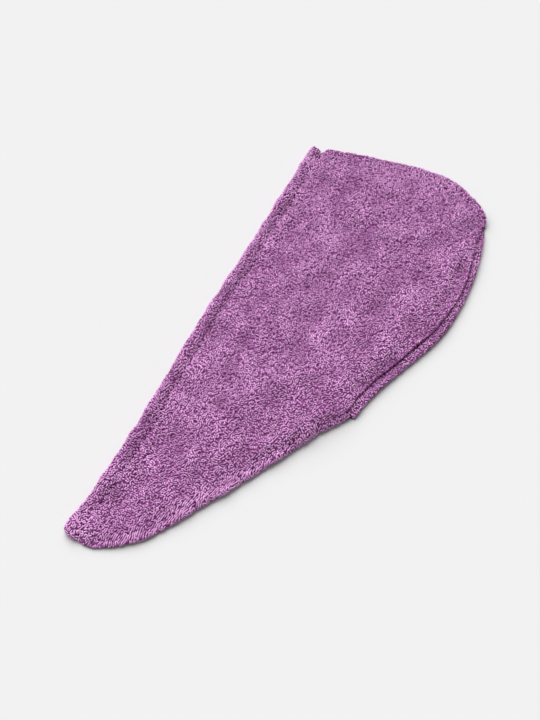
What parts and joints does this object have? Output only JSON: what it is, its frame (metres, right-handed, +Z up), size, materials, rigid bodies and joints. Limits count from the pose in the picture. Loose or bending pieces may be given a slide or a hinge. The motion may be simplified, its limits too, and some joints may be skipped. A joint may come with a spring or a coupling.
{
  "type": "hair turban towel",
  "caption": "Pointed terry hair turban towel lying flat, with a straight spine seam, a slanted tail and an open hemmed edge for the head.",
  "frame": {"origin": "middle of the towel's outline, on the surface that it lies on", "axes": "+Z up from the surface, +Y along the straight spine from the tail's tip to the top edge, +X towards the open edge"},
  "size_m": [0.2676, 0.65, 0.0184],
  "materials": {
    "terry": "looped cotton pile"
  },
  "bodies": {
    "root": {"upper_panel": "terry", "under_panel": "terry", "upper_hem": "terry", "under_hem": "terry", "spine_seam": "terry", "top_seam": "terry", "tail_seam": "terry"}
  },
  "joints": []
}
